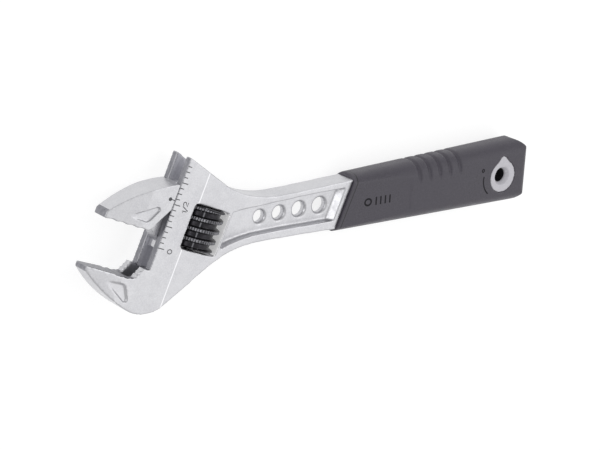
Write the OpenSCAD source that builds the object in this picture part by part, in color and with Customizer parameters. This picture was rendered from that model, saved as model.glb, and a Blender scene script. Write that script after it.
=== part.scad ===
// Adjustable wrench, 150 mm class, lying flat.
// Origin: hang-hole axis at mid thickness. +X runs to the jaws, +Y to the fixed-jaw side,
// +Z out of the face that carries the scale. Millimetres.

/* [Jaws] */
// Gap between the gripping faces as built
jaw_opening = 13.8; // [1:0.1:23]
// Angle between the jaw direction and the handle
head_angle = 22.5; // [20:0.5:25]
// Reach of the jaws in front of the rails
jaw_reach = 19.3; // [17:0.1:21]
// Full thickness of the head
head_t = 8.7; // [8.4:0.1:9.6]

/* [Adjusting screw] */
// Outside diameter of the worm
worm_d = 13.6; // [13.2:0.1:14]
// Axial pitch of the worm thread and of the rack
worm_pitch = 3; // [2.9:0.05:3.1]

/* [Handle] */
// Thickness of the bare steel handle
handle_t = 7.2; // [6.6:0.1:7.8]
// Thickness left between the two panel recesses
web_t = 2.6; // [2:0.1:3.2]
// Number of lightening holes in the panel
hole_count = 4; // [2:1:4]

/* [Grip] */
// Thickness of the grip
grip_t = 11.6; // [11:0.1:12.4]
// Width of the grip at the front boundary
grip_front_w = 16.6; // [16.2:0.1:17]
// Width of the grip at the hang end
grip_end_w = 19.5; // [18.6:0.1:20.4]
// Diameter of the hang hole
hang_d = 4.4; // [4:0.1:5]
// Number of thumb grooves in the grip edge
groove_count = 5; // [3:1:6]

/* [Hidden] */
$fn = 64;
eps = 0.01;
big = 60;
fit = 0.06;                     // running clearance of every sliding surface

head_x = 131;                   // rail line meets the fixed gripping face here
head_y = 11.2;
ledge_h = 3.4;                  // throat ledge above the fixed gripping face
ledge_w = 2.2;
throat_w = 4.4;
rail_top = 36.3;                // upper end of the rails above the gripping face

back_r = 49;                    // curve of the fixed jaw back
back_c = [-9.1, -38.5];
heel_join = 2.5;                // where the back curve hands over to the heel curve
heel_r = 11.4;
neck_lo = 30;                   // slopes of the two flanks between head and handle
neck_up = 37.5;
waist_lo = [102.3, 6.6];        // corners the flanks would make with the handle
waist_up = [96.6, -6.3];
fillet_lo = 35;
fillet_up = 34;

slide_w = -4.3;                 // slide bar axis behind the rail faces
slide_r = 3.3;
slot_t = 4.2;
bar_lo = -4.5;                  // ends of the slide bar, from the movable gripping face
bar_hi = 15;
slide_floor = 4.9;

worm_w = -13.4;                 // worm axis behind the rail faces
worm_lo = 12.3;                // ends of the worm above the fixed gripping face
worm_hi = 24.35;
worm_r = worm_d / 2;
thread_h = 1.3;
worm_n = 32;                    // points round the worm section
spring_len = 4;
spring_turns = 3;
win_lo = 11.6;                  // adjusting window
win_hi = 24.6;
win_front = -7.3;
win_back = worm_w - worm_r - 0.3;
rack_phase = 0.6;
rack_n = 7;

tick_step = 25.4 / 16;          // scale, sixteenths of an inch
tick_zero = 10;
tick_depth = 0.15;

pin_r = 1.5;
pin_head_r = 2.2;
pin_head_y = -6;
pin_end = -28;

tang_t = 5;                     // steel tang inside the grip
grip_edge = 61;                 // grip boundary on the centre line
grip_end = -11.4;
grip_r = 5;                     // rounding along both sides
grip_corner = 5.5;              // plan radius of the two hang-end corners
grip_skew = [-0.15, 0.3];       // sideways offset of the grip at the hang end and at the boundary
cover_t = 1.9;
boss_t = grip_t - 0.4;          // boss of the core stands just below the cover
sink_h = 1.2;
groove_x0 = 33.9;
groove_step = 4;
panel_y = -0.15;
hole_x0 = 90.5;
hole_r0 = 1.85;
hole_step = 0.15;
hole_gap = 3.1;

// ---- helpers -------------------------------------------------------------

// Head frame: x out along the jaws from the rail faces, y towards the fixed jaw.
module in_head() translate([head_x, head_y, 0]) rotate([0, 0, -head_angle]) children();

// Slab swept along the head frame's y axis from a profile drawn in (x, z).
module sweep_y(y0, y1) translate([0, y1, 0]) rotate([90, 0, 0]) linear_extrude(y1 - y0) children();

// Round bar along the head frame's y axis.
module bar_y(x, y0, y1, r) translate([x, y0, 0]) rotate([-90, 0, 0]) cylinder(h = y1 - y0, r = r);

// Extrusion centred on the mid plane.
module plate(t) translate([0, 0, -t / 2]) linear_extrude(t) children();

// The same shape on both faces of the tool.
module both_faces() {
  children();
  mirror([0, 0, 1]) children();
}

module rounded_rect(x0, x1, y0, y1, r) {
  translate([x0 + r, y0]) square([x1 - x0 - 2 * r, y1 - y0]);
  translate([x0, y0 + r]) square([x1 - x0, y1 - y0 - 2 * r]);
  for (x = [x0 + r, x1 - r], y = [y0 + r, y1 - r]) translate([x, y]) circle(r);
}

// A point of the part frame, in the head frame.
function to_head(p) = let (d = [p[0] - head_x, p[1] - head_y])
  [d[0] * cos(head_angle) - d[1] * sin(head_angle), d[0] * sin(head_angle) + d[1] * cos(head_angle)];

// Thickness of the steel: full at the head, thinner towards tips and handle.
module steel_profile() {
  tip_half = head_t / 2 - 1.7;
  polygon([[-150, handle_t / 2], [-27, handle_t / 2], [-8.3, head_t / 2], [8, head_t / 2],
           [jaw_reach, tip_half], [jaw_reach, -tip_half], [8, -head_t / 2], [-8.3, -head_t / 2],
           [-27, -handle_t / 2], [-150, -handle_t / 2]]);
}

// Shallow triangular recess of the jaw cheeks, apex towards the tip.
module cheek_triangle(side) {
  polygon([[13, side * 2.3], [6.6, side * 2.1], [5.7, side * 2.7], [3.6, side * 6.2],
           [4.1, side * 6.9], [5, side * 6.8]]);
}

// ---- body ----------------------------------------------------------------

heel_u = let (d = [heel_join, sqrt(pow(back_r, 2) - pow(heel_join - back_c[0], 2))])
  [(d[0] - back_c[0]) / back_r, d[1] / back_r];
heel_c = back_c + (back_r - heel_r) * heel_u;
flank_t = neck_lo + head_angle;
heel_tangent = heel_c + heel_r * [-sin(flank_t), cos(flank_t)];

// Concave fillet patch between the handle edge and a head flank.
module waist_fillet(corner, slope, r, side) {
  reach = r * tan(slope / 2);
  difference() {
    polygon([corner + [-reach, 0], corner + [-reach, -side * 2], corner + [reach, -side * 2],
             corner + reach * [cos(slope), side * sin(slope)]]);
    translate(corner + [-reach, side * r]) circle(r, $fn = 128);
  }
}

module head_outline() {
  difference() {
    union() {
      intersection() {
        translate([heel_join, -eps]) square([jaw_reach - heel_join, big]);
        translate(back_c) circle(back_r, $fn = 128);
      }
      translate(heel_c) circle(heel_r, $fn = 128);
      polygon([[0, -rail_top], [0, 0], heel_c, heel_tangent, to_head(waist_lo), to_head(waist_up)]);
    }
    polygon([[0, -big], [0, -ledge_h], [ledge_w, -ledge_h], [throat_w, 0], [big, 0], [big, -big]]);
    // grip serrations of the throat ramp and of the inner end of the gripping face
    for (k = [0.2, 0.5, 0.8]) translate([ledge_w, -ledge_h] + k * [throat_w - ledge_w, ledge_h]) circle(0.42);
    for (k = [0, 1]) translate([6.4 + 2.6 * k, -2.8]) circle(3.05);
  }
}

module handle_outline() {
  polygon([waist_up + [8, 0], waist_up, [78, -6.35], [58, -6.95], [58, 7.7], [64, 7.4], [70, 7.1], [78, 6.85],
           [88, 6.6], waist_lo, waist_lo + [8, 0]]);
  waist_fillet(waist_lo, neck_lo, fillet_lo, 1);
  waist_fillet(waist_up, neck_up, fillet_up, -1);
}

// Grip boundary, parallel to the rails.
module ahead_of_grip(x) polygon([[x - 12, -12 / tan(head_angle)], [x + 12, 12 / tan(head_angle)], [170, 29],
                                 [170, -29]]);

module tang_outline() {
  polygon([[66, -6], [0, -5.6], [0, 5.6], [66, 6]]);
  circle(5.6);
}

module panel_outline() {
  polygon([[112, -3.4], [103.2, -3.9], [75, -4.8], [50, -4.9], [50, 5], [70, 4.5], [84, 4.2], [94, 4.25],
           [98.3, 4.7], [102.8, 5.5], [112, 8.4]]);
}

// Recess cutter of one face: floor, and a sloping wall at each end.
module panel_cut() {
  intersection() {
    translate([0, 0, web_t / 2]) linear_extrude(big) panel_outline();
    in_head() sweep_y(-big, 5) polygon([[-58.6, big], [-58.6, handle_t / 2], [-57, web_t / 2],
                                        [win_back - 1.9, web_t / 2], [win_back - 0.8, 3.9], [win_back - 0.8, big]]);
  }
}

function hole_r(k) = hole_r0 + hole_step * k;
function hole_x(k) = k == 0 ? hole_x0 : hole_x(k - 1) - hole_gap - hole_r(k - 1) - hole_r(k);

module lightening_hole(r) {
  cylinder(h = web_t + 1, r = r, center = true);
  both_faces() translate([0, 0, web_t / 2 - 0.55]) cylinder(h = 0.6, r1 = r, r2 = r + 0.6);
}

module scale_marks() {
  for (k = [0:15]) {
    len = k % 4 == 0 ? 2.2 : 1.4;
    translate([-len, -tick_zero - k * tick_step - 0.13, head_t / 2 - tick_depth]) cube([len - 0.1, 0.26, 1]);
  }
}

module slide_cuts() {
  bar_y(slide_w, -big, slide_floor, slide_r + fit);
  plate(slot_t) polygon([[slide_w, -big], [5, -big], [5, 0.3], [0.3, slide_floor], [slide_w, slide_floor]]);
}

module worm_cuts() {
  plate(big) rounded_rect(win_back, win_front, -win_hi, -win_lo, 1);
  bar_y(worm_w, -win_hi, -win_lo, worm_r + 0.2);
  bar_y(worm_w, pin_end - 0.2, 10, pin_r);
  bar_y(worm_w, pin_head_y, 10, pin_head_r + fit);
}

module body() color("silver") difference() {
  union() {
    intersection() {
      plate(head_t + 1) intersection() {
        union() {
          in_head() head_outline();
          handle_outline();
        }
        ahead_of_grip(grip_edge);
      }
      in_head() sweep_y(-90, 40) steel_profile();
    }
    plate(tang_t) tang_outline();
  }
  both_faces() panel_cut();
  for (k = [0:hole_count - 1]) translate([hole_x(k), panel_y, 0]) lightening_hole(hole_r(k));
  tang_hole();
  in_head() {
    slide_cuts();
    worm_cuts();
    scale_marks();
    both_faces() translate([0, 0, head_t / 2 - 0.6]) linear_extrude(big) cheek_triangle(1);
  }
}

// ---- movable jaw ---------------------------------------------------------

// Everything here is drawn from the movable gripping face, y towards the opening side.
module jaw_outline() {
  intersection() {
    polygon([[fit, 7.2], [3.2, 2.5], [3.8, 1.1], [5.2, 0], [jaw_reach, 0], [jaw_reach, 40], [fit, 40]]);
    translate([-14.6, -28]) circle(45.1, $fn = 128);
  }
}

module web_outline() {
  polygon([[slide_w, bar_lo], [-1.2, bar_lo], [-1.2, -2.6], [3.4, 1], [3.4, 6], [0.5, bar_hi - 0.4],
           [0, bar_hi - 0.2], [slide_w, bar_hi]]);
}

module rack_gap() {
  depth = thread_h + 0.6;
  polygon([[worm_w + worm_r + 0.3, -0.75], [worm_w + worm_r + 0.3 - depth, -1.25],
           [worm_w + worm_r + 0.3 - depth, 1.25], [worm_w + worm_r + 0.3, 0.75]]);
}

module movable_jaw() color("lightsteelblue") in_head() translate([0, -jaw_opening, 0]) mirror([0, 1, 0]) {
  difference() {
    union() {
      intersection() {
        plate(head_t) jaw_outline();
        sweep_y(-1, 30) steel_profile();
      }
      plate(slot_t - 2 * fit) web_outline();
      bar_y(slide_w, bar_lo, bar_hi, slide_r);
    }
    plate(big) for (k = [0:rack_n - 1]) translate([0, rack_phase + worm_pitch * (k - 1)]) rack_gap();
    // scalloped gripping edge
    for (k = [0:3]) translate([7.3 + 3.2 * k, -3.75, 0]) cylinder(h = big, r = 4, center = true);
    both_faces() translate([0, 0, head_t / 2 - 0.6]) linear_extrude(big) cheek_triangle(1);
    // index mark read against the scale
    translate([1.8, tick_zero, head_t / 2 - tick_depth]) cylinder(h = 1, r = 0.55);
    translate([0.1, tick_zero - 0.13, head_t / 2 - tick_depth]) cube([1.7, 0.26, 1]);
  }
}

// ---- adjusting screw -----------------------------------------------------

// Radius of the worm against the distance from a crest, as a share of one turn.
function thread_r(s) = let (t = s * worm_pitch)
  t < 0.5 ? worm_r : t < 0.95 ? worm_r - thread_h * (t - 0.5) / 0.45 : worm_r - thread_h;

module worm_section() {
  polygon([for (k = [0:worm_n - 1]) let (s = k / worm_n) thread_r(min(s, 1 - s)) * [cos(360 * s), sin(360 * s)]]);
}

// Drawn along +z; z is the opening direction, x faces the rack.
module worm() color("dimgray") in_head() translate([worm_w, -worm_lo, 0]) rotate([90, 0, 0])
  difference() {
    length = worm_hi - worm_lo;
    crest = jaw_opening + rack_phase - worm_lo;
    rotate([0, 0, -360 * crest / worm_pitch])
      linear_extrude(length, twist = -360 * length / worm_pitch, slices = 90, segments = 1) worm_section();
    cylinder(h = big, r = pin_r + 0.1, center = true);
    translate([0, 0, length - spring_len]) cylinder(h = big, r = 2.9);
  }

// Half a turn of an annular sector, so that each coil is as thick as the gap beside it.
module spring_section() {
  polygon([for (k = [0:9]) 2.7 * [cos(20 * k), sin(20 * k)], for (k = [9:-1:0]) 1.9 * [cos(20 * k), sin(20 * k)]]);
}

module worm_spring() color("gray") in_head() translate([worm_w, spring_len - worm_hi - fit, 0]) rotate([90, 0, 0])
  linear_extrude(spring_len, twist = -360 * spring_turns, slices = 60, segments = 1) spring_section();

module worm_pin() color("darkgray") in_head() difference() {
  union() {
    bar_y(worm_w, pin_end, pin_head_y + eps, pin_r);
    bar_y(worm_w, pin_head_y, pin_head_y + 1.6, pin_head_r);
  }
  translate([worm_w - 5, pin_head_y + 0.9, -0.35]) cube([10, 5, 0.7]);
}

// ---- grip ----------------------------------------------------------------

// Share of the way from the hang end to the grip boundary.
function grip_run(x) = (x - 4) / (grip_edge - 4);
function grip_y(side, x) = grip_skew[0] + (grip_skew[1] - grip_skew[0]) * grip_run(x)
  + side * (grip_end_w + (grip_front_w - grip_end_w) * grip_run(x)) / 2;

// Plan of the hang end with its two rounded corners, inset by d.
module grip_plan(d) {
  end = grip_end + d;
  x = end + grip_corner;
  corner_y = [for (side = [-1, 1]) grip_y(side, x) - side * (grip_corner + d)];
  plate(big) polygon([[x, -15], [80, -15], [80, 15], [x, 15], [x, corner_y[1] + grip_corner],
                      [end, corner_y[1]], [end, corner_y[0]], [x, corner_y[0] - grip_corner]]);
  for (y = corner_y) translate([x, y, 0]) cylinder(h = big, r = grip_corner - 0.02, center = true);
}

module behind_grip_edge(x) polygon([[x - 12, -12 / tan(head_angle)], [x + 12, 12 / tan(head_angle)], [-60, 29],
                                    [-60, -29]]);

// Slab whose rounded edge follows one side of the grip, inset by d.
module grip_flank(side, d) {
  slope = atan((grip_y(side, grip_edge) - grip_y(side, 4)) / (grip_edge - 4));
  span = side > 0 ? [-40, -d] : [d, 40];
  translate([4, grip_y(side, 4), 0]) rotate([0, 0, slope]) translate([-40, 0, 0]) rotate([90, 0, 90])
    linear_extrude(120) rounded_rect(span[0], span[1], d - grip_t / 2, grip_t / 2 - d, grip_r - d);
}

// Side profile, drawn in (x, z): slim at the front lip, rounded at the hang end.
module grip_side(d) {
  half = grip_t / 2 - d;
  r = 3.5;
  rounded_rect(grip_end + d, 40, -half, half, r);
  polygon([[20, -half], [34, -half], [66, -half + 1.4], [66, half - 1.4], [34, half], [20, half]]);
}

module grip_solid(d, x) {
  intersection() {
    grip_plan(d);
    plate(big) behind_grip_edge(x);
    grip_flank(-1, d);
    grip_flank(1, d);
    sweep_y(-30, 30) grip_side(d);
  }
}

// Teardrop boss around the hang hole, point towards -y.
module teardrop() {
  r = 5.1;
  shoulder = r * [cos(25), -sin(25)];
  centre = [-0.3, 0.2];
  translate(centre) circle(r);
  polygon([centre - [shoulder[0], -shoulder[1]], [-1.2, -5.9], [-0.3, -6.4], [0.6, -5.9], centre + shoulder,
           centre + [0, 2]]);
}

module grip_core_solid(boss_t) {
  grip_solid(cover_t, grip_edge - 2);
  plate(boss_t) teardrop();
}

// Hole in the tang, wide enough to clear the countersunk hang hole of the core.
module tang_hole() cylinder(h = big, r = hang_d / 2 + 1.1, center = true);

module grip_core() color("lightgray") difference() {
  grip_core_solid(boss_t);
  difference() {
    plate(tang_t) tang_outline();
    tang_hole();
  }
  cylinder(h = big, r = hang_d / 2, center = true);
  both_faces() translate([0, 0, boss_t / 2 - sink_h]) cylinder(h = sink_h + eps, r1 = hang_d / 2, r2 = hang_d / 2 + 0.8);
}

module grip_cover() color([0.25, 0.25, 0.28]) difference() {
  grip_solid(0, grip_edge);
  grip_core_solid(big);
  plate(tang_t) tang_outline();
  // thumb grooves across the upper edge
  for (k = [0:groove_count - 1]) thumb_groove(groove_x0 - groove_step * k);
}

// Groove that wraps one side of the grip from face to face.
module thumb_groove(x) {
  centre_y = grip_y(-1, x) + grip_t / 2;
  intersection() {
    translate([x, centre_y, 0]) rotate([0, 90, 0]) rotate_extrude() translate([grip_t / 2 + 0.45, 0]) circle(0.8);
    translate([x - 1, centre_y - 10, -10]) cube([2, 9.6, 20]);
  }
}

body();
movable_jaw();
worm();
worm_spring();
worm_pin();
grip_core();
grip_cover();
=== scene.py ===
"""Looks of the adjustable wrench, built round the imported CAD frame.

Shapes are worked out in mm and stored in metres, in the axes of the CAD frame."""

import math

import bpy
import numpy as np
from mathutils import Euler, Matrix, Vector


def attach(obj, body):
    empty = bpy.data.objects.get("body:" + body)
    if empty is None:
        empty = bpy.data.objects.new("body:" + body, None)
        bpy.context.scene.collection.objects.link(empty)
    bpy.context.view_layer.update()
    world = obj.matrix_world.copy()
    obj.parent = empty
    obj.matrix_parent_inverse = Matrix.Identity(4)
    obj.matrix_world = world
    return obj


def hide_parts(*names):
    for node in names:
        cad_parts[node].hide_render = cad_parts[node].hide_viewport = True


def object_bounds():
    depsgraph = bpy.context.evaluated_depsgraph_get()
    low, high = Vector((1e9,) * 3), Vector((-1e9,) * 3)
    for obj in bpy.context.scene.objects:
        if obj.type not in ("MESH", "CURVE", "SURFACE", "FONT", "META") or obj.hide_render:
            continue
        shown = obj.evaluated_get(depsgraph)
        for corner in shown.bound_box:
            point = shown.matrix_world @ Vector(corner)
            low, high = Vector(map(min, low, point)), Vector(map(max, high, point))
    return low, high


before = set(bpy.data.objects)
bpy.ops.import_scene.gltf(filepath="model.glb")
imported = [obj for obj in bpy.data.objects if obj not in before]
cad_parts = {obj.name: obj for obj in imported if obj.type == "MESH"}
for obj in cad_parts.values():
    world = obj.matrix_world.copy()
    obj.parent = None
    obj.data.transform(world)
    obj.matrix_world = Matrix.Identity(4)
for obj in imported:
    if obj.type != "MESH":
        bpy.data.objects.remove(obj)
cad_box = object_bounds()

MM = 0.001

# Head frame of the CAD: w runs out along the jaws from the rails, a up from the fixed gripping face.
HEAD_ORIGIN = np.array([131.0, 11.2, 0.0])
HEAD_ANGLE = math.radians(22.5)
W_DIR = np.array([math.cos(HEAD_ANGLE), -math.sin(HEAD_ANGLE), 0.0])
A_DIR = np.array([-math.sin(HEAD_ANGLE), -math.cos(HEAD_ANGLE), 0.0])
HEAD_HALF = 4.35                 # half thickness of the head, mm
JAW_OPENING = 13.8               # jaw gap at rest, mm
CREASE_W = -8.1                  # crease where the head starts to thin towards the handle; a painted highlight line runs along it
LIP_LINE_W = -61.3               # fine line moulded round the front lip of the grip


def head_point(w, a, z):
    """A point of the head frame, in mm of the part frame."""
    return HEAD_ORIGIN + w * W_DIR + a * A_DIR + np.array([0.0, 0.0, z])


def head_coords(points):
    """(w, a) of points given in mm of the part frame."""
    offset = points - HEAD_ORIGIN
    return offset @ W_DIR, offset @ A_DIR


# ---- mesh helpers ----------------------------------------------------------

def new_piece(name, vertices_mm, faces, smooth=True):
    """A mesh object from vertices in mm."""
    mesh = bpy.data.meshes.new(name)
    mesh.from_pydata([tuple(float(c) * MM for c in v) for v in vertices_mm], [], faces)
    mesh.update()
    for polygon in mesh.polygons:
        polygon.use_smooth = smooth
    piece = bpy.data.objects.new(name, mesh)
    bpy.context.scene.collection.objects.link(piece)
    return piece


def bake_modifiers(piece):
    """Replaces the piece's mesh by its evaluated mesh."""
    evaluated = piece.evaluated_get(bpy.context.evaluated_depsgraph_get())
    mesh = bpy.data.meshes.new_from_object(evaluated)
    piece.modifiers.clear()
    piece.data = mesh


def box_mesh(lo, hi, place):
    """Corner points and faces of a box from lo to hi, put in place by a function of three coordinates."""
    corners = [(x, y, z) for x in (lo[0], hi[0]) for y in (lo[1], hi[1]) for z in (lo[2], hi[2])]
    points = [place(*c) for c in corners]
    faces = [(0, 1, 3, 2), (4, 6, 7, 5), (0, 4, 5, 1), (2, 3, 7, 6), (0, 2, 6, 4), (1, 5, 7, 3)]
    return points, faces


def joined(parts):
    """One vertex list and face list from several."""
    vertices, faces = [], []
    for part_vertices, part_faces in parts:
        start = len(vertices)
        vertices += list(part_vertices)
        faces += [tuple(start + i for i in face) for face in part_faces]
    return vertices, faces


def drawn_line(points, width, closed, place):
    """A flat line of a given width along (x, y) points; place(x, y, top) gives one corner of it."""
    points = np.array(points, float)
    count = len(points)
    corners = []
    for i in range(count):
        before = points[i - 1] if (i or closed) else points[i]
        after = points[(i + 1) % count] if (i < count - 1 or closed) else points[i]
        along = (after - before) / np.linalg.norm(after - before)
        side = np.array([-along[1], along[0]]) * width / 2
        for top in (False, True):
            for sign in (-1, 1):
                corners.append(place(*(points[i] + sign * side), top))
    faces = []
    for i in range(count if closed else count - 1):
        a, b = 4 * i, 4 * ((i + 1) % count)
        faces += [(a + 2, a + 3, b + 3, b + 2), (a + 1, a, b, b + 1)]
        faces += [(a, a + 2, b + 2, b), (a + 3, a + 1, b + 1, b + 3)]
    if not closed:
        last = 4 * (count - 1)
        faces += [(0, 1, 3, 2), (last + 1, last, last + 2, last + 3)]
    return corners, faces


def arc(cx, cy, rx, ry, start, end, steps):
    """Points along an arc of an ellipse, from one angle to another in degrees."""
    angles = [math.radians(start + (end - start) * k / steps) for k in range(steps + 1)]
    return [(cx + rx * math.cos(angle), cy + ry * math.sin(angle)) for angle in angles]


def tube_mesh(path, radii, sides):
    """A closed round tube along a list of points."""
    path = np.array(path, float)
    tangents = np.gradient(path, axis=0)
    tangents /= np.linalg.norm(tangents, axis=1)[:, None]
    normal = np.cross(tangents[0], [0.0, 0.0, 1.0])
    if np.linalg.norm(normal) < 0.1:
        normal = np.cross(tangents[0], [0.0, 1.0, 0.0])
    vertices = []
    for point, tangent, radius in zip(path, tangents, radii):
        normal = normal - tangent * np.dot(normal, tangent)
        normal /= np.linalg.norm(normal)
        side = np.cross(tangent, normal)
        for k in range(sides):
            angle = 2 * math.pi * k / sides
            vertices.append(point + radius * (math.cos(angle) * normal + math.sin(angle) * side))
    faces = []
    for i in range(len(path) - 1):
        for k in range(sides):
            a, b = i * sides + k, i * sides + (k + 1) % sides
            faces.append((a, b, b + sides, a + sides))
    faces.append(tuple(range(sides))[::-1])
    faces.append(tuple((len(path) - 1) * sides + k for k in range(sides)))
    return vertices, faces


def rounded_copy(node, name, voxel, passes, face_limit, fill=(), cut=None):
    """A finely meshed copy of a CAD node whose edges are rounded by a voxel remesh and smoothing.

    voxel is in mm, passes counts the smoothing steps, and a mesh over face_limit triangles is thinned to it.
    fill holds closed meshes merged with it, and cut is one closed mesh taken out of it first, both in mm."""
    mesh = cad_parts[node].data.copy()
    piece = bpy.data.objects.new(name, mesh)
    bpy.context.scene.collection.objects.link(piece)
    coords = np.empty(len(mesh.vertices) * 3)
    mesh.vertices.foreach_get("co", coords)
    mesh.vertices.foreach_set("co", coords / MM)
    mesh.materials.clear()
    mesh.update()
    weld = piece.modifiers.new("weld", "WELD")
    weld.merge_threshold = 0.0005
    bake_modifiers(piece)
    if cut is not None:
        cutter = new_piece(name + "_cutter", [v / MM for v in np.array(cut[0])], cut[1], smooth=False)
        carve = piece.modifiers.new("carve", "BOOLEAN")
        carve.operation = "DIFFERENCE"
        carve.solver = "EXACT"
        carve.use_self = True
        carve.object = cutter
        bake_modifiers(piece)
        bpy.data.objects.remove(cutter)
    if fill:
        own = ([v.co[:] for v in piece.data.vertices], [tuple(p.vertices) for p in piece.data.polygons])
        vertices, faces = joined([own, *fill])
        piece.data = bpy.data.meshes.new(name)
        piece.data.from_pydata([tuple(v) for v in vertices], [], faces)
    remesh = piece.modifiers.new("remesh", "REMESH")
    remesh.mode = "VOXEL"
    remesh.voxel_size = voxel * 1
    remesh.use_smooth_shade = True
    soften = piece.modifiers.new("soften", "SMOOTH")
    soften.factor = 0.5
    soften.iterations = passes
    bake_modifiers(piece)
    count = sum(len(p.vertices) - 2 for p in piece.data.polygons)
    if count > face_limit:
        thin = piece.modifiers.new("thin", "DECIMATE")
        thin.ratio = face_limit / count
        bake_modifiers(piece)
    mesh = piece.data
    coords = np.empty(len(mesh.vertices) * 3)
    mesh.vertices.foreach_get("co", coords)
    mesh.vertices.foreach_set("co", coords * MM)
    mesh.polygons.foreach_set("use_smooth", np.ones(len(mesh.polygons), bool))
    mesh.update()
    mesh.name = name
    return piece


def between(values, span):
    """Which values lie inside a span."""
    return (values > span[0]) & (values < span[1])


def face_data(piece):
    """Centres in mm and normals of a piece's faces."""
    mesh = piece.data
    centres = np.empty(len(mesh.polygons) * 3)
    normals = np.empty(len(mesh.polygons) * 3)
    mesh.polygons.foreach_get("center", centres)
    mesh.polygons.foreach_get("normal", normals)
    return centres.reshape(-1, 3) / MM, normals.reshape(-1, 3)


def finish_piece(piece, body, nodes, slot, *materials):
    """Materials of a piece, the body it rides on, the CAD nodes it stands for, and its material slot (not
    used).
    """
    piece.data.materials.clear()
    for material in materials:
        piece.data.materials.append(material)
    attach(piece, body)
    if nodes:
        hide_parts(*nodes)


# ---- materials --------------------------------------------------------------

class Nodes:
    """Short forms for building one material's node tree."""

    def __init__(self, name):
        self.material = bpy.data.materials.new(name)
        self.material.use_nodes = True
        self.tree = self.material.node_tree
        self.shader = self.tree.nodes["Principled BSDF"]
        self.coords = self.tree.nodes.new("ShaderNodeTexCoord").outputs["Object"]

    def link(self, source, target):
        self.tree.links.new(source, target)

    def feed(self, name, source):
        """Drives an input of the surface shader."""
        self.link(source, self.shader.inputs[name])

    def set(self, name, value):
        """Sets an input of the surface shader."""
        self.shader.inputs[name].default_value = value

    def noise(self, scale, detail=4.0, roughness=0.6, stretch=None):
        node = self.tree.nodes.new("ShaderNodeTexNoise")
        node.inputs["Scale"].default_value = scale
        node.inputs["Detail"].default_value = detail
        node.inputs["Roughness"].default_value = roughness
        source = self.coords
        if stretch:
            mapping = self.tree.nodes.new("ShaderNodeMapping")
            mapping.inputs["Scale"].default_value = stretch
            mapping.inputs["Rotation"].default_value = (0, 0, HEAD_ANGLE)
            self.link(self.coords, mapping.inputs["Vector"])
            source = mapping.outputs["Vector"]
        self.link(source, node.inputs["Vector"])
        return node.outputs["Fac"]

    def ramp(self, source, low, high, low_at=0.3, high_at=0.7):
        """Maps a 0-1 value to a range of colours or numbers."""
        node = self.tree.nodes.new("ShaderNodeMapRange")
        node.inputs["From Min"].default_value = low_at
        node.inputs["From Max"].default_value = high_at
        node.inputs["To Min"].default_value = low
        node.inputs["To Max"].default_value = high
        self.link(source, node.inputs["Value"])
        return node.outputs["Result"]

    def mix(self, factor, first, second):
        node = self.tree.nodes.new("ShaderNodeMix")
        node.data_type = "RGBA"
        self.link(factor, node.inputs["Factor"])
        for socket, value in (("A", first), ("B", second)):
            target = [i for i in node.inputs if i.name == socket and i.type == "RGBA"][0]
            if isinstance(value, tuple):
                target.default_value = (*value, 1.0)
            else:
                self.link(value, target)
        return [o for o in node.outputs if o.type == "RGBA"][0]

    def band(self, at, core, edge):
        """1 on a line across the tool, parallel to the rails, at a distance along W_DIR from the origin."""
        dot = self.tree.nodes.new("ShaderNodeVectorMath")
        dot.operation = "DOT_PRODUCT"
        dot.inputs[1].default_value = tuple(W_DIR)
        self.link(self.coords, dot.inputs[0])
        shift = self.tree.nodes.new("ShaderNodeMath")
        shift.operation = "SUBTRACT"
        shift.inputs[1].default_value = at
        self.link(dot.outputs["Value"], shift.inputs[0])
        size = self.tree.nodes.new("ShaderNodeMath")
        size.operation = "ABSOLUTE"
        self.link(shift.outputs[0], size.inputs[0])
        return self.ramp(size.outputs[0], 1.0, 0.0, core, edge)

    def pointiness(self, low, high):
        """0 on flat ground, 1 on sharp outer edges."""
        geometry = self.tree.nodes.new("ShaderNodeNewGeometry")
        return self.ramp(geometry.outputs["Pointiness"], 0.0, 1.0, low, high)

    def bump(self, source, strength, distance, under=None):
        node = self.tree.nodes.new("ShaderNodeBump")
        node.inputs["Strength"].default_value = strength
        node.inputs["Distance"].default_value = distance
        self.link(source, node.inputs["Height"])
        if under is not None:
            self.link(under, node.inputs["Normal"])
        return node.outputs["Normal"]


def satin_chrome():
    """Blasted and chromed forging: fine grain, faint cloudiness, brighter worn edges, and a painted highlight
    line along the head's crease.
    """
    m = Nodes("satin_chrome")
    clouds = m.noise(90, detail=3)
    grain = m.noise(2600, detail=3, roughness=0.7)
    base = m.mix(m.ramp(clouds, 0, 1), (0.53, 0.53, 0.555), (0.60, 0.60, 0.62))
    speck = m.mix(m.ramp(grain, 0, 1, 0.35, 0.75), base, (0.68, 0.68, 0.70))
    worn = m.mix(m.pointiness(0.54, 0.64), speck, (0.80, 0.80, 0.82))
    # painted highlight: a pale line along the crease where the head starts to thin, standing in for the light
    # the kink catches
    crease_highlight = m.band((HEAD_ORIGIN @ W_DIR + CREASE_W) * MM, 0.10 * MM, 0.26 * MM)
    m.feed("Base Color", m.mix(crease_highlight, worn, (0.86, 0.86, 0.88)))
    m.set("Metallic", 1.0)
    m.feed("Roughness", m.ramp(m.noise(400), 0.33, 0.46))
    waves = m.bump(clouds, 0.10, 0.0004)
    m.feed("Normal", m.bump(grain, 0.22, 0.00006, waves))
    return m.material


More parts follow.
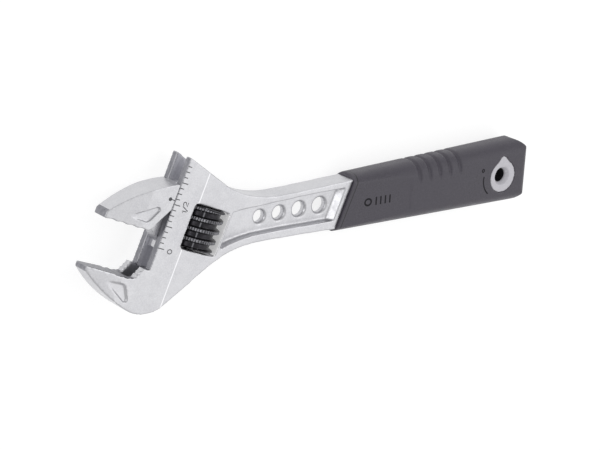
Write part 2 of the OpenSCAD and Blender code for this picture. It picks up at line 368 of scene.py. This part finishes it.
def milled_steel_and_shade():
    """Milled rails, slot and gripping faces, with fine cutter lines along the rails; its dark base is partly
    the milled finish and partly painted shade of the rails and mouth.
    """
    m = Nodes("milled_steel_and_shade")
    lines = m.noise(1500, detail=2, stretch=(1.0, 0.04, 1.0))
    # dark base: partly the milled finish, partly painted shade
    base = m.mix(m.ramp(lines, 0, 1), (0.21, 0.21, 0.23), (0.31, 0.31, 0.335))
    worn = m.mix(m.pointiness(0.52, 0.60), base, (0.62, 0.62, 0.64))
    m.feed("Base Color", worn)
    m.set("Metallic", 1.0)
    m.feed("Roughness", m.ramp(m.noise(700), 0.34, 0.5))
    m.feed("Normal", m.bump(lines, 0.25, 0.00005))
    return m.material


def window_wall_painted_light():
    """Cast wall of the adjusting window: rough, painted pale and given a glow, a painted highlight for light
    it catches though it sits in shade.
    """
    m = Nodes("window_wall_painted_light")
    grain = m.noise(1800, detail=3)
    m.feed("Base Color", m.mix(m.ramp(grain, 0, 1), (0.72, 0.72, 0.74), (0.85, 0.85, 0.86)))
    m.set("Metallic", 0.25)
    m.feed("Roughness", m.ramp(grain, 0.5, 0.65))
    m.feed("Normal", m.bump(grain, 0.2, 0.00005))
    # painted light: the wall glows though it is no lamp
    m.set("Emission Color", (1.0, 1.0, 1.0, 1.0))
    m.set("Emission Strength", 0.35)
    return m.material


def bore_wall_painted_glow():
    """Inside of the slide bore and slot: bored steel, lifted out of its shade by a faint painted glow."""
    m = Nodes("bore_wall_painted_glow")
    rings = m.noise(1200, detail=3)
    m.feed("Base Color", m.mix(m.ramp(rings, 0, 1), (0.30, 0.30, 0.33), (0.42, 0.42, 0.45)))
    m.set("Metallic", 0.5)
    m.feed("Roughness", m.ramp(rings, 0.45, 0.6))
    m.feed("Normal", m.bump(rings, 0.2, 0.00005))
    # painted light: a faint glow on the bore wall
    m.set("Emission Color", (0.9, 0.9, 1.0, 1.0))
    m.set("Emission Strength", 0.09)
    return m.material


def black_oxide():
    """Blackened steel of the adjusting screw, lighter on its knurled ridges: partly worn bare, partly a
    painted highlight of the lit ridge tops.
    """
    m = Nodes("black_oxide")
    patches = m.noise(900)
    base = m.mix(m.ramp(patches, 0, 1), (0.018, 0.017, 0.02), (0.045, 0.043, 0.05))
    # lighter ridge edges: partly wear, partly painted highlight
    ridge_wear_and_highlight = m.mix(m.pointiness(0.53, 0.62), base, (0.25, 0.25, 0.27))
    m.feed("Base Color", ridge_wear_and_highlight)
    m.set("Metallic", 0.85)
    m.feed("Roughness", m.ramp(m.noise(1800), 0.26, 0.42))
    m.feed("Normal", m.bump(patches, 0.15, 0.00004))
    return m.material


def crest_wear_and_highlight():
    """Tops of the knurled ridges: worn to bare steel, and painted lighter as the lit ridge tops."""
    m = Nodes("crest_wear_and_highlight")
    wear = m.noise(1400)
    m.feed("Base Color", m.mix(m.ramp(wear, 0, 1), (0.10, 0.10, 0.11), (0.30, 0.30, 0.32)))
    m.set("Metallic", 1.0)
    m.feed("Roughness", m.ramp(wear, 0.25, 0.4))
    m.feed("Normal", m.bump(wear, 0.15, 0.00004))
    return m.material


def dark_steel():
    """Oiled steel of the axle screw."""
    m = Nodes("dark_steel")
    turning = m.noise(2200, detail=2)
    base = m.mix(m.ramp(turning, 0, 1), (0.13, 0.13, 0.14), (0.22, 0.22, 0.23))
    m.feed("Base Color", base)
    m.set("Metallic", 1.0)
    m.feed("Roughness", m.ramp(m.noise(900), 0.3, 0.45))
    m.feed("Normal", m.bump(turning, 0.2, 0.00004))
    return m.material


def bright_wire():
    """Drawn spring wire."""
    m = Nodes("bright_wire")
    drawing = m.noise(2500, detail=2)
    base = m.mix(m.ramp(drawing, 0, 1), (0.38, 0.38, 0.40), (0.52, 0.52, 0.54))
    m.feed("Base Color", base)
    m.set("Metallic", 1.0)
    m.feed("Roughness", m.ramp(drawing, 0.25, 0.4))
    m.feed("Normal", m.bump(drawing, 0.15, 0.00003))
    return m.material


def soft_rubber():
    """Overmoulded grip: fine spark-eroded grain, a little dust in it, edges polished by the hand."""
    m = Nodes("soft_rubber")
    grain = m.noise(3200, detail=4, roughness=0.75)
    handling = m.noise(45, detail=3)
    base = m.mix(m.ramp(grain, 0, 1), (0.028, 0.024, 0.034), (0.076, 0.069, 0.090))
    faded = m.mix(m.ramp(handling, 0, 0.5), base, (0.066, 0.060, 0.078))
    worn = m.mix(m.pointiness(0.51, 0.58), faded, (0.10, 0.095, 0.11))
    lip = m.band((HEAD_ORIGIN @ W_DIR + LIP_LINE_W) * MM, 0.10 * MM, 0.22 * MM)
    m.feed("Base Color", m.mix(lip, worn, (0.012, 0.011, 0.014)))
    m.feed("Roughness", m.ramp(handling, 0.38, 0.50))
    m.set("Specular IOR Level", 0.5)
    m.feed("Normal", m.bump(grain, 0.5, 0.00012))
    return m.material


def mark_floor_and_hole_shade():
    """Smooth floor of the marks sunk in the grip; the same near-black is also painted on the hang hole's wall
    as shade.
    """
    m = Nodes("mark_floor_and_hole_shade")
    grain = m.noise(1500)
    m.feed("Base Color", m.mix(m.ramp(grain, 0, 1), (0.012, 0.011, 0.014), (0.02, 0.019, 0.023)))
    m.set("Specular IOR Level", 0.15)
    m.feed("Roughness", m.ramp(grain, 0.6, 0.75))
    m.feed("Normal", m.bump(grain, 0.1, 0.00005))
    return m.material


def grey_plastic():
    """Hard light-grey sleeve, whose boss frames the hang hole."""
    m = Nodes("grey_plastic")
    grain = m.noise(2200, detail=3)
    base = m.mix(m.ramp(grain, 0, 1), (0.53, 0.52, 0.56), (0.60, 0.59, 0.63))
    worn = m.mix(m.pointiness(0.52, 0.6), base, (0.68, 0.67, 0.70))
    m.feed("Base Color", worn)
    m.feed("Roughness", m.ramp(grain, 0.42, 0.55))
    m.feed("Normal", m.bump(grain, 0.2, 0.00006))
    return m.material


def etched_ink():
    """Laser-etched marks on the steel."""
    m = Nodes("etched_ink")
    burn = m.noise(2500)
    m.feed("Base Color", m.mix(m.ramp(burn, 0, 1), (0.05, 0.05, 0.055), (0.14, 0.14, 0.15)))
    m.set("Metallic", 0.4)
    m.feed("Roughness", m.ramp(burn, 0.5, 0.7))
    m.feed("Normal", m.bump(burn, 0.2, 0.00003))
    return m.material


chrome = satin_chrome()
milled_and_shade = milled_steel_and_shade()
ink = etched_ink()

# ---- head and handle --------------------------------------------------------

TICK_ZERO = 10.0
TICK_STEP = 25.4 / 16
TICK_COUNT = 16
FILL_DEPTH = 0.3                 # engraved marks are filled level from this deep and drawn as ink

# Milled faces of the head: where they lie in w, a and z, mm.
CHANNEL_W = (-8.0, 0.4)
CHANNEL_LO_A = 3.0
BORE_BACK_W = -6.9
BORE_BACK_HALF = 3.4
BORE_W = -0.3
FIXED_FACE_W = 4.0
FIXED_FACE_A = (-0.6, 0.5)
WINDOW_BACK_W = (-21.0, -20.2)
WINDOW_A = (11.0, 25.2)
TIP_W = 18.7
TIP_FACING = 0.7                 # a tip face points outwards at least this squarely

tick_fill = box_mesh((-2.4, TICK_ZERO - 0.4, HEAD_HALF - FILL_DEPTH),
                     (-0.08, TICK_ZERO + (TICK_COUNT - 1) * TICK_STEP + 0.4, HEAD_HALF), head_point)
body = rounded_copy("body", "wrench_body", 0.29, 3, 199000, fill=[tick_fill])


def paint_machined(piece):
    """Gives the faces of the head their materials: 0 chrome, 1 milled (also painted on the jaw tips as
    shade), 2 back of the window (painted pale and glowing), 3 slide bore (with a faint painted glow).
    """
    centres, normals = face_data(piece)
    w, a = head_coords(centres)
    deep = np.abs(centres[:, 2])
    out = normals @ W_DIR
    channel = between(w, CHANNEL_W) & (a > CHANNEL_LO_A) & (deep < HEAD_HALF - 0.08)
    channel &= ~((w < BORE_BACK_W) & (deep > BORE_BACK_HALF))
    fixed_face = (w > FIXED_FACE_W) & (normals @ A_DIR > 0.75) & between(a, FIXED_FACE_A)
    # painted shade: the end faces of the fixed jaw's tip take the darker milled steel
    tip = (w > TIP_W) & (out > TIP_FACING)
    index = np.where(channel | fixed_face | tip, 1, 0)
    window_back = between(w, WINDOW_BACK_W) & between(a, WINDOW_A) & (deep < HEAD_HALF - 0.1)
    # the window's back wall gets the pale glowing paint that stands in for its light
    index[window_back & (out > 0.5)] = 2
    index[channel & (w < BORE_W)] = 3
    piece.data.polygons.foreach_set("material_index", index.astype(np.int32))


finish_piece(body, "frame", ["body"], "head_steel", chrome, milled_and_shade, window_wall_painted_light(), bore_wall_painted_glow())
paint_machined(body)

# ---- movable jaw ------------------------------------------------------------

index_fill = box_mesh((0.15, JAW_OPENING + TICK_ZERO - 0.7, HEAD_HALF - FILL_DEPTH),
                      (2.5, JAW_OPENING + TICK_ZERO + 0.7, HEAD_HALF), head_point)
jaw = rounded_copy("movable_jaw", "sliding_jaw", 0.17, 5, 190000, fill=[index_fill])
finish_piece(jaw, "jaw", ["movable_jaw"], "jaw_steel", chrome, milled_and_shade)
jaw_centres, jaw_normals = face_data(jaw)
# painted shade: the end faces of the sliding jaw's tip take the darker milled steel
jaw_tip = (head_coords(jaw_centres)[0] > TIP_W) & (jaw_normals @ W_DIR > TIP_FACING)
jaw.data.polygons.foreach_set("material_index", jaw_tip.astype(np.int32))

# ---- scale and index marks --------------------------------------------------

INK_TOP = HEAD_HALF + 0.012
INK_LINE = 0.26
INK_DEPTH = 0.2
HALF_AT = (-5.0, 21.2)           # (w, a) of the lower left of the numeral 1/2
DOT_R = 0.55
DOT_SIDES = 24


def ink_line(start, end):
    """A flat bar between two (w, a) points on the scale face."""
    start, end = np.array(start, float), np.array(end, float)
    along = (end - start) / np.linalg.norm(end - start)
    side = np.array([-along[1], along[0]]) * INK_LINE / 2
    corners = [start - side, end - side, end + side, start + side]
    points = [head_point(c[0], c[1], z) for z in (INK_TOP - INK_DEPTH, INK_TOP) for c in corners]
    faces = [(0, 1, 2, 3), (7, 6, 5, 4), (0, 4, 5, 1), (1, 5, 6, 2), (2, 6, 7, 3), (3, 7, 4, 0)]
    return points, faces


def ink_path(points, origin, closed=False):
    """A line on the scale face; points are (right, up) as it is read, right towards +a."""
    def place(right, up, top):
        return head_point(origin[0] + up, origin[1] + right, INK_TOP if top else INK_TOP - INK_DEPTH)

    return drawn_line(points, INK_LINE, closed, place)


ticks = []
for k in range(TICK_COUNT):
    length = 2.2 if k % 4 == 0 else 1.4
    height = TICK_ZERO + k * TICK_STEP
    ticks.append(ink_line((-0.12, height), (-length, height)))

zero = ink_path(arc(0, 0, 0.6, 0.75, 0, 360 - 22.5, 15), origin=(-4.3, TICK_ZERO - 0.2), closed=True)
half_numeral = [
    ink_path([(0.0, 1.15), (0.45, 1.5), (0.45, 0.0)], origin=HALF_AT),
    ink_path([(0.7, -0.3), (1.7, 1.9)], origin=HALF_AT),
    ink_path(arc(2.45, 1.45, 0.55, 0.5, 160, -30, 10) + [(1.85, 0.35), (3.1, 0.35)], origin=HALF_AT),
]
scale = new_piece("scale_marks", *joined(ticks + [zero] + half_numeral), smooth=False)
finish_piece(scale, "frame", [], "head_steel", ink)

dot_at = (1.8, JAW_OPENING + TICK_ZERO)
dot_turns = [math.radians(360 / DOT_SIDES * k) for k in range(DOT_SIDES)]
dot_ring = [head_point(dot_at[0] + DOT_R * math.cos(turn), dot_at[1] + DOT_R * math.sin(turn), z)
            for z in (INK_TOP - INK_DEPTH, INK_TOP) for turn in dot_turns]
dot_faces = [tuple(range(DOT_SIDES)), tuple(range(2 * DOT_SIDES - 1, DOT_SIDES - 1, -1))]
dot_faces += [(k, k + DOT_SIDES, (k + 1) % DOT_SIDES + DOT_SIDES, (k + 1) % DOT_SIDES)
              for k in range(DOT_SIDES)]
index_dash = ink_line((0.15, dot_at[1]), (1.4, dot_at[1]))
index = new_piece("index_mark", *joined([(dot_ring, dot_faces), index_dash]), smooth=False)
finish_piece(index, "jaw", [], "jaw_steel", ink)

# ---- adjusting screw --------------------------------------------------------

WORM_W = -13.4
WORM_LO = 12.3
WORM_HI = 24.35
WORM_R = 6.8
WORM_PITCH = 3.0
THREAD_H = 1.3
CREST_HALF = 0.36
FLANK = 0.52
CREST_AT = 2.1                   # height of a crest above the worm's lower end, on the side of the rack
KNURLS = 54
KNURL_DEPTH = 0.2
RIDGE_HALF = 0.30                # the knurling covers a crest this far to each side, then fades
RIDGE_FADE = 0.25
END_CHAMFER = 0.45
CREST_PAINT_DEPTH = 0.13              # faces within this of the worm's radius take the crest material, worn and painted light
BORE_R = 1.7
RECESS_R = 2.9
RECESS_DEPTH = 4.0


def worm_radius(height, turn):
    """Radius of the knurled worm at a height above its lower end and an angle in turns from the rack side."""
    offset = (height - CREST_AT) / WORM_PITCH - turn
    distance = abs(offset - round(offset)) * WORM_PITCH
    blend = min(max((distance - CREST_HALF) / FLANK, 0.0), 1.0)
    drop = THREAD_H * blend * blend * (3 - 2 * blend)
    ridge = 1.0 - min(max((distance - RIDGE_HALF) / RIDGE_FADE, 0.0), 1.0)
    knurl = KNURL_DEPTH * ridge * (0.5 - 0.5 * math.cos(2 * math.pi * KNURLS * turn)) ** 0.8
    edge = min(height, WORM_HI - WORM_LO - height)
    chamfer = max(0.0, END_CHAMFER - edge)
    return min(WORM_R - drop - knurl, WORM_R - chamfer)


def worm_mesh():
    """The knurled thread outside, and the bore with the spring's recess inside, as one closed surface."""
    around = KNURLS * 6
    length = WORM_HI - WORM_LO
    rows = 110
    profile = []
    for i in range(rows + 1):
        height = length * i / rows
        profile.append([(worm_radius(height, j / around), height) for j in range(around)])
    floor = length - RECESS_DEPTH
    inner = [(RECESS_R, length), (RECESS_R, floor), (BORE_R, floor), (BORE_R, 0.0)]
    for radius, height in inner:
        profile.append([(radius, height)] * around)
    vertices = []
    for ring in profile:
        for j, (radius, height) in enumerate(ring):
            angle = 2 * math.pi * j / around
            across = WORM_W + radius * math.cos(angle)
            vertices.append(head_point(across, WORM_LO + height, radius * math.sin(angle)))
    faces = []
    for i in range(len(profile)):
        for j in range(around):
            here, there = i * around, ((i + 1) % len(profile)) * around
            faces.append((here + j, there + j, there + (j + 1) % around, here + (j + 1) % around))
    return vertices, faces


worm = new_piece("knurled_worm", *worm_mesh())
finish_piece(worm, "adjuster", ["worm"], "worm_steel", black_oxide(), crest_wear_and_highlight())
worm_centres, _ = face_data(worm)
worm_across = np.hypot(head_coords(worm_centres)[0] - WORM_W, worm_centres[:, 2])
# crest faces: wear, plus a painted highlight of the lit ridges
worm.data.polygons.foreach_set("material_index", (worm_across > WORM_R - CREST_PAINT_DEPTH).astype(np.int32))

# ---- spring and axle --------------------------------------------------------

SPRING_TURNS = 4.5
SPRING_R = 2.3
WIRE_R = 0.28
WIRE_STEPS = 160
WIRE_GAP = 0.05                  # between the end turns and what they push on

spring_path = []
for k in range(WIRE_STEPS + 1):
    share = k / WIRE_STEPS
    angle = 2 * math.pi * SPRING_TURNS * share
    rise = share * (RECESS_DEPTH - 2 * WIRE_R - 2 * WIRE_GAP)
    height = WORM_HI - RECESS_DEPTH + WIRE_R + WIRE_GAP + rise
    spring_path.append(head_point(WORM_W + SPRING_R * math.cos(angle), height, SPRING_R * math.sin(angle)))
spring = new_piece("coil_spring", *tube_mesh(spring_path, [WIRE_R] * len(spring_path), 10))
finish_piece(spring, "adjuster", ["worm_spring"], "spring_steel", bright_wire())

pin = rounded_copy("worm_pin", "axle_screw", 0.12, 2, 90000)
finish_piece(pin, "frame", ["worm_pin"], "pin_steel", dark_steel())

# ---- grip -------------------------------------------------------------------

GRIP_HALF_T = 5.8
SHOULDER_R = 5.0
GROOVE_X0 = 33.9
GROOVE_STEP = 4.0
GROOVE_COUNT = 5
GROOVE_R = 0.62                  # radius of the tube that cuts a groove
GROOVE_CLEAR = 0.15              # how far the tube's middle runs outside the shoulder
MARK_DEPTH = 0.3
MARK_LIFT = 0.02
GRIP_BACK_X = 4                  # the grooved side runs from here to the lip, narrowing on the way
GRIP_BACK_Y = -9.9
GRIP_TAPER = 1.9
GRIP_RUN = 57
DROP_X = 34                      # the grip's face starts to drop here
DROP = 1.4
DROP_RUN = 32


def grip_top_y(x):
    """The grooved side of the grip."""
    return GRIP_BACK_Y + GRIP_TAPER * (x - GRIP_BACK_X) / GRIP_RUN


def grip_face_z(x):
    """Height of the grip's face, which drops towards the front lip."""
    return GRIP_HALF_T - max(0.0, x - DROP_X) * DROP / DROP_RUN


def groove_cutter(x):
    """A tube that wraps one side of the grip and fades out on both faces."""
    centre_y = grip_top_y(x) + SHOULDER_R
    reach = SHOULDER_R + GROOVE_CLEAR
    rise = GRIP_HALF_T - SHOULDER_R
    path = []
    for k in range(31):
        angle = math.radians(-90 + 6 * k)
        path.append((x, centre_y - reach * math.cos(angle), (rise + reach) * math.sin(angle)))
    fade = [(x, centre_y + d, rise + reach + 0.3 * d) for d in (0.7, 1.4, 2.1, 2.8)]
    path = [(p[0], p[1], -p[2]) for p in reversed(fade)] + path + fade
    return tube_mesh(path, [GROOVE_R] * len(path), 10)


def mark_path(points, width, closed=False):
    """A flat line on the grip's face, its top a hair above the rubber."""
    def place(x, y, top):
        return np.array([x, y, grip_face_z(x) - (-MARK_LIFT if top else MARK_DEPTH)])

    return drawn_line(points, width, closed, place)


# Plain marks: a ring with four bars near the lip, and a curved line with a small ring by the hang hole.
marks = [mark_path(arc(53.3, 0.35, 1.15, 1.0, 0, 345, 23), 0.55, closed=True)]
marks += [mark_path([(50.3 - 1.7 * k, -0.9), (50.3 - 1.7 * k, 1.6)], 0.5) for k in range(4)]
marks += [mark_path(arc(0.0, 0.3, 7.9, 6.6, -10, 44, 18), 0.45)]
marks += [mark_path(arc(8.3, -2.9, 0.45, 0.45, 0, 330, 11), 0.4, closed=True)]

cover = rounded_copy("grip_cover", "soft_cover", 0.32, 4, 199000,
                     cut=joined([groove_cutter(GROOVE_X0 - GROOVE_STEP * k) for k in range(GROOVE_COUNT)]))
finish_piece(cover, "frame", ["grip_cover"], "cover_rubber", soft_rubber())

dark_mark_and_hole_shade = mark_floor_and_hole_shade()
label = new_piece("grip_marks", *joined(marks), smooth=False)
finish_piece(label, "frame", [], "cover_rubber", dark_mark_and_hole_shade)

HOLE_SHADE_R = 2.75              # faces this near the hang hole's axis get painted shade on the hole's wall
HOLE_SHADE_HALF = 4.1

core = rounded_copy("grip_core", "grip_sleeve", 0.28, 3, 199000)
finish_piece(core, "frame", ["grip_core"], "core_plastic", grey_plastic(), dark_mark_and_hole_shade)
core_centres, _ = face_data(core)
# painted shade: the hole's wall in the grey sleeve takes the near-black mark material
hole_shade_faces = np.hypot(core_centres[:, 0], core_centres[:, 1]) < HOLE_SHADE_R
hole_shade_faces &= np.abs(core_centres[:, 2]) < HOLE_SHADE_HALF
core.data.polygons.foreach_set("material_index", hole_shade_faces.astype(np.int32))

# ---- stage, light and camera ------------------------------------------------

FLOOR_Z = cad_box[0][2]
FLOOR_HALF = 3000


def pale_floor():
    """Nearly white ground that takes only a faint shadow."""
    m = Nodes("pale_floor")
    m.set("Base Color", (0.3, 0.3, 0.3, 1.0))
    m.set("Roughness", 0.9)
    m.set("Emission Color", (1.0, 1.0, 1.0, 1.0))
    m.set("Emission Strength", 0.78)
    return m.material


floor_signs = ((-1, -1), (1, -1), (1, 1), (-1, 1))
floor_corners = [(x * FLOOR_HALF, y * FLOOR_HALF, FLOOR_Z / MM) for x, y in floor_signs]
floor = new_piece("floor", floor_corners, [(0, 1, 2, 3)], smooth=False)
floor.data.materials.append(pale_floor())

world = bpy.data.worlds.new("studio")
world.use_nodes = True
background = world.node_tree.nodes["Background"]
background.inputs["Color"].default_value = (1.0, 1.0, 1.0, 1.0)
background.inputs["Strength"].default_value = 0.62
bpy.context.scene.world = world
bpy.context.scene.view_settings.view_transform = "Standard"

CENTRE = Vector((0.07, 0.0, 0.0))


def softbox(name, direction, distance, width, power):
    """A square area light that faces the middle of the tool."""
    data = bpy.data.lights.new(name, "AREA")
    data.size = width
    data.energy = power
    lamp = bpy.data.objects.new(name, data)
    towards = Vector(direction).normalized()
    lamp.location = CENTRE + towards * distance
    lamp.rotation_euler = towards.to_track_quat("Z", "Y").to_euler()
    bpy.context.scene.collection.objects.link(lamp)


softbox("key", (-0.56, 0.22, 0.76), 1.0, 1.1, 2.3)
softbox("left", (0.88, -0.29, 0.38), 0.8, 0.3, 0.9)
softbox("rear", (-0.55, -0.42, 0.72), 0.8, 0.5, 0.8)

CAMERA_AT = (0.41912, -0.18167, 0.42995)
CAMERA_TURN = (-21.125, -37.618, -176.163)
camera_data = bpy.data.cameras.new("camera")
camera_data.lens = 120.05
camera_data.sensor_width = 36.0
camera_data.clip_start = 0.01
camera = bpy.data.objects.new("camera", camera_data)
camera.location = CAMERA_AT
camera.rotation_euler = Euler([math.radians(a) for a in CAMERA_TURN], "XYZ")
bpy.context.scene.collection.objects.link(camera)
bpy.context.scene.camera = camera
